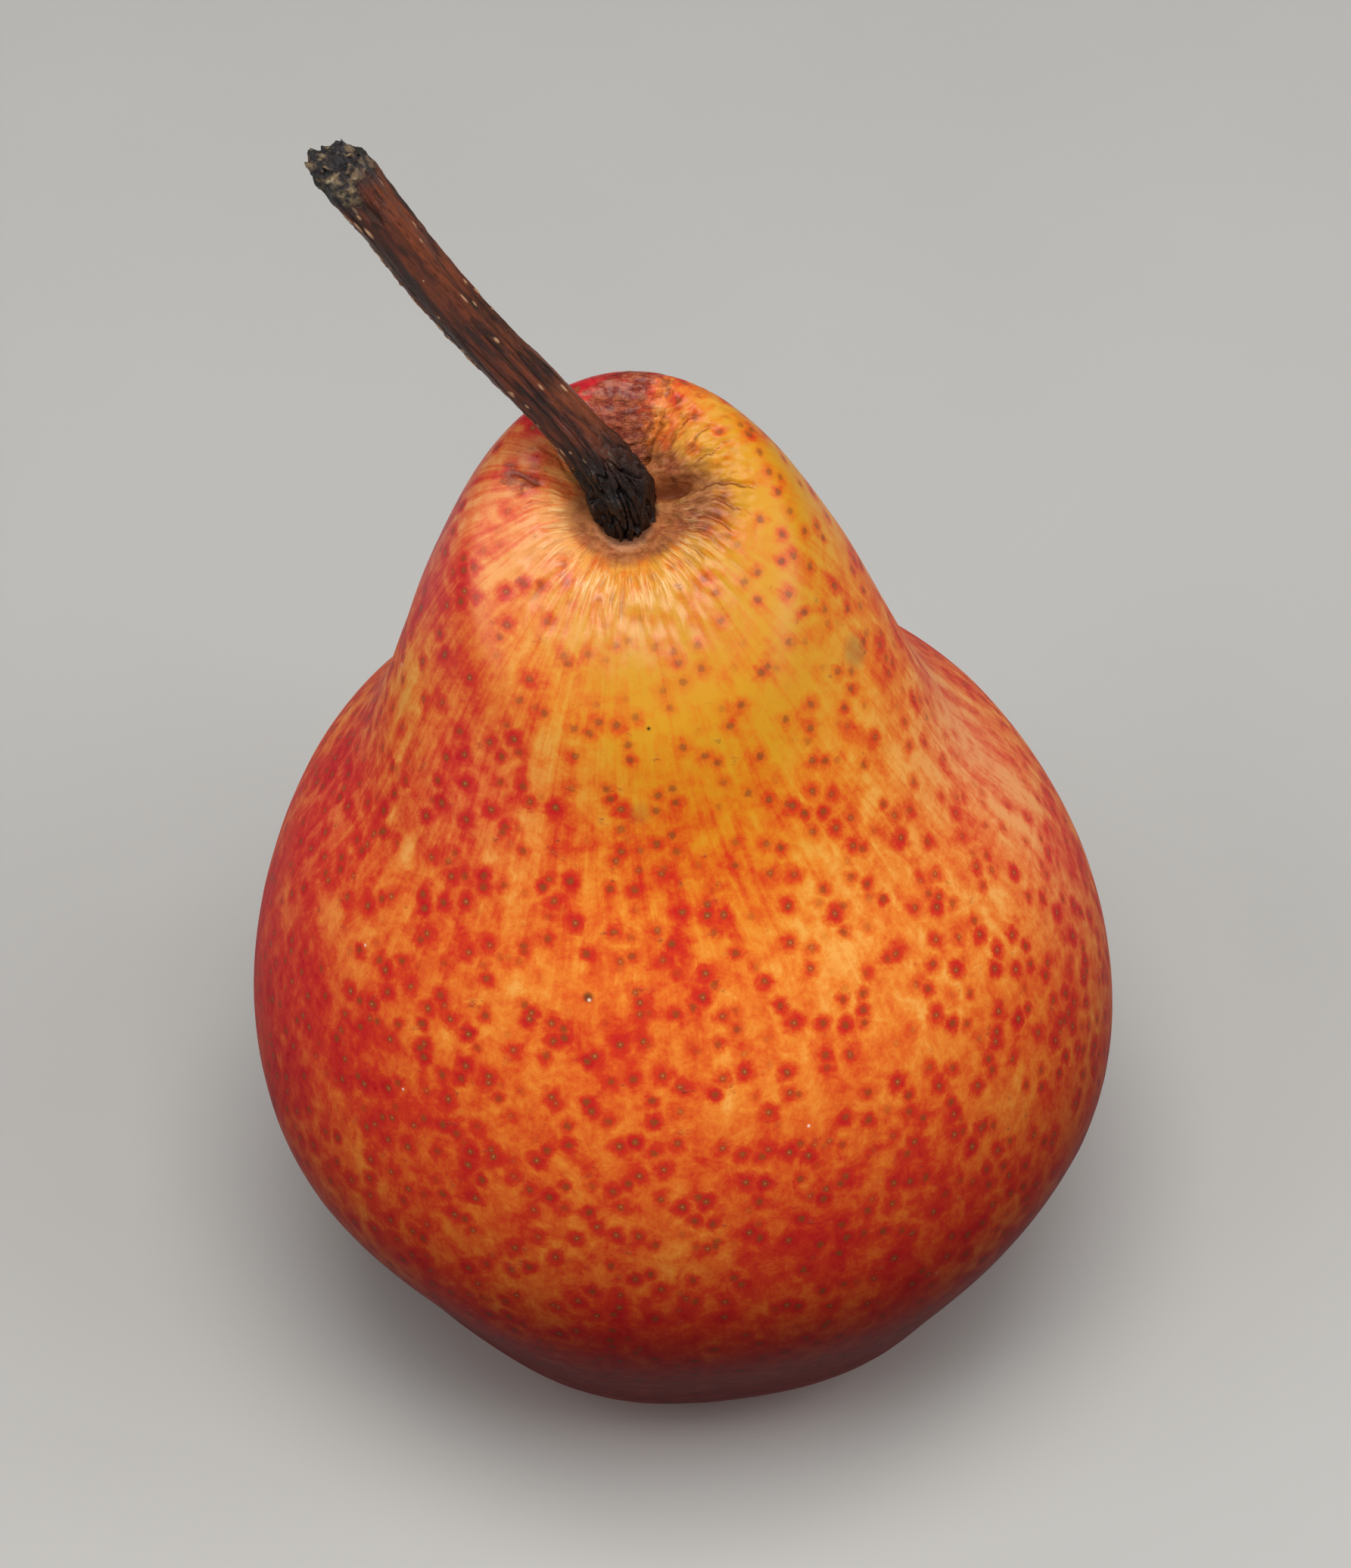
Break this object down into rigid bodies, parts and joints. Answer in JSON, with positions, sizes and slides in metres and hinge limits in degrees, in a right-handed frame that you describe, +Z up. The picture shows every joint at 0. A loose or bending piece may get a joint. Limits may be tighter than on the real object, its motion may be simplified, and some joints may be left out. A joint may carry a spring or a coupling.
{
  "type": "pear",
  "caption": "Whole blushed dessert pear with its woody stem and dried calyx, standing on its lobed base.",
  "frame": {"origin": "on the resting surface, below the middle of the part's bounding box", "axes": "+Z up through the crown, +X to the right of the side from which the crown slopes down towards the viewer, -Y towards that viewer; the stem leans towards -X"},
  "size_m": [0.07, 0.0687, 0.1114],
  "materials": {
    "skin": "satin waxy skin, golden yellow under an orange-red blush with red freckles",
    "bark": "furrowed reddish-brown bark, nearly black at the root",
    "dried_calyx": "dry, dark brown, papery"
  },
  "bodies": {
    "root": {"fruit": "skin", "stem": "bark", "calyx": "dried_calyx"}
  },
  "joints": []
}
